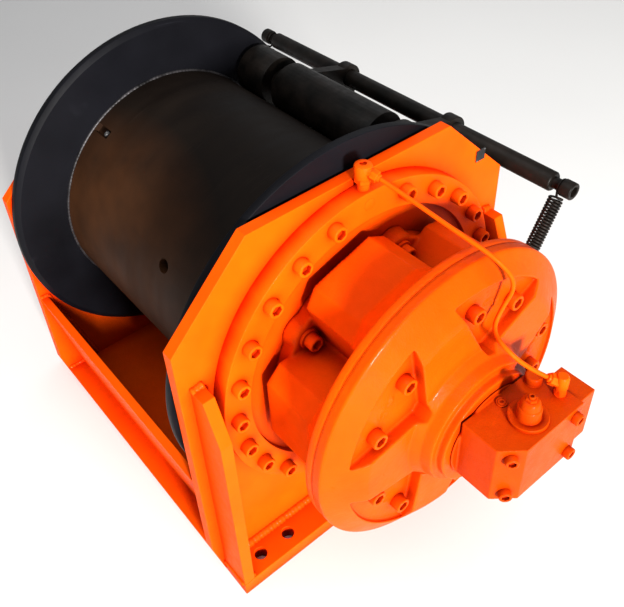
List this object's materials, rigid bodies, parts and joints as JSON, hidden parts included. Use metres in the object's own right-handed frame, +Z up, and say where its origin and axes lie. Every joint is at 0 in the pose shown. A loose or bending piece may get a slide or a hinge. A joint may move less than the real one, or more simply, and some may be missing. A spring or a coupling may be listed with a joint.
{
  "type": "hydraulic winch",
  "caption": "Cable-drum winch: a radial-piston hydraulic motor drives the drum through a planetary gearbox in a welded frame, with a sprung rope-press roller.",
  "frame": {"origin": "underside of the frame, midway between the two end plates and on the drum's centre plane", "axes": "+Z up, +X along the drum axis towards the motor, +Y towards the press roller"},
  "size_m": [1.054, 0.718, 0.723],
  "materials": {
    "orange_paint": "gloss paint on plate and castings",
    "black_steel": "worn black-brown steel",
    "bright_steel": "machined",
    "cast_steel": "machined casting",
    "friction": "sintered friction lining",
    "plate_metal": "dark anodised"
  },
  "bodies": {
    "frame": {"motor_end_plate": "orange_paint", "far_end_plate": "orange_paint", "motor_end_foot": "orange_paint", "far_end_foot": "orange_paint", "front_channel": "orange_paint", "rear_channel": "orange_paint", "motor_end_gussets": "orange_paint", "far_end_gussets": "orange_paint", "spring_lugs": "orange_paint", "press_arm_brackets": "orange_paint", "press_pivot_pins": "bright_steel", "name_plate": "plate_metal", "far_bearing_housing": "orange_paint", "far_bearing": "bright_steel", "far_bearing_cap": "orange_paint", "far_housing_screws": "orange_paint", "gearbox_housing": "orange_paint", "gearbox_flange_screws": "orange_paint", "drum_bearing": "bright_steel", "ring_gear": "bright_steel", "brake_fixed_plates": "bright_steel", "brake_springs": "bright_steel", "motor_front_casing": "orange_paint", "motor_mount_screws": "orange_paint", "casing_gasket": "orange_paint", "motor_rear_cover": "orange_paint", "cover_screws": "orange_paint", "cylinders": "cast_steel", "pistons": "cast_steel", "crank_bearings": "bright_steel", "distributor_housing": "orange_paint", "relief_valve_cap": "orange_paint", "valve_plugs": "orange_paint", "distributor_bolts": "orange_paint", "port_block": "orange_paint", "brake_line_pipe": "orange_paint", "pipe_fittings": "orange_paint"},
    "drum": {"drum_barrel": "black_steel", "drum_flange_motor_end": "black_steel", "drum_flange_far_end": "black_steel", "rope_anchor": "black_steel", "drum_drive_web": "cast_steel", "planet_carrier": "cast_steel", "planet_pins": "bright_steel", "drum_far_hub": "cast_steel"},
    "motor_shaft": {"crankshaft": "bright_steel", "sun_gear": "bright_steel", "brake_friction_discs": "friction", "eccentric_ring": "bright_steel", "distributor_rotor": "bright_steel"},
    "planet_1": {"planet_gear_1": "bright_steel"},
    "planet_2": {"planet_gear_2": "bright_steel"},
    "planet_3": {"planet_gear_3": "bright_steel"},
    "brake_piston": {"brake_piston": "bright_steel"},
    "press_arm": {"press_shaft": "black_steel", "press_shaft_screws": "black_steel", "press_arms": "black_steel", "roller_axle": "black_steel", "press_springs": "black_steel"},
    "press_roller": {"press_roller": "black_steel"}
  },
  "joints": [
    {"name": "drum_spin", "type": "hinge", "parent": "frame", "child": "drum", "pos_m": [0, 0, 0.397], "axis": [1, 0, 0], "continuous": true},
    {"name": "motor_shaft_spin", "type": "hinge", "parent": "frame", "child": "motor_shaft", "pos_m": [0.3, 0, 0.397], "axis": [1, 0, 0], "continuous": true},
    {"name": "planet_1_spin", "type": "hinge", "parent": "drum", "child": "planet_1", "pos_m": [0.175, 0.10125, 0.397], "axis": [1, 0, 0], "continuous": true},
    {"name": "planet_2_spin", "type": "hinge", "parent": "drum", "child": "planet_2", "pos_m": [0.175, -0.05063, 0.48468], "axis": [1, 0, 0], "continuous": true},
    {"name": "planet_3_spin", "type": "hinge", "parent": "drum", "child": "planet_3", "pos_m": [0.175, -0.05063, 0.30932], "axis": [1, 0, 0], "continuous": true},
    {"name": "brake_piston_slide", "type": "slide", "parent": "frame", "child": "brake_piston", "axis": [1, 0, 0], "range_m": [0, 0.002], "stiffness_N_per_m": 60000, "springref_m": -0.004},
    {"name": "press_arm_swing", "type": "hinge", "parent": "frame", "child": "press_arm", "pos_m": [0, 0.34, 0.215], "axis": [-1, 0, 0], "range_deg": [0, 18], "stiffness_Nm_per_rad": 60, "springref_deg": -68.75, "deforming": ["press_springs"]},
    {"name": "press_roller_spin", "type": "hinge", "parent": "press_arm", "child": "press_roller", "pos_m": [0, 0.212, 0.572], "axis": [1, 0, 0], "continuous": true}
  ],
  "couplings": [
    {"joint": "motor_shaft_spin", "follows": "drum_spin", "ratio": 5},
    {"joint": "planet_1_spin", "follows": "drum_spin", "ratio": -2.6667},
    {"joint": "planet_2_spin", "follows": "drum_spin", "ratio": -2.6667},
    {"joint": "planet_3_spin", "follows": "drum_spin", "ratio": -2.6667}
  ]
}
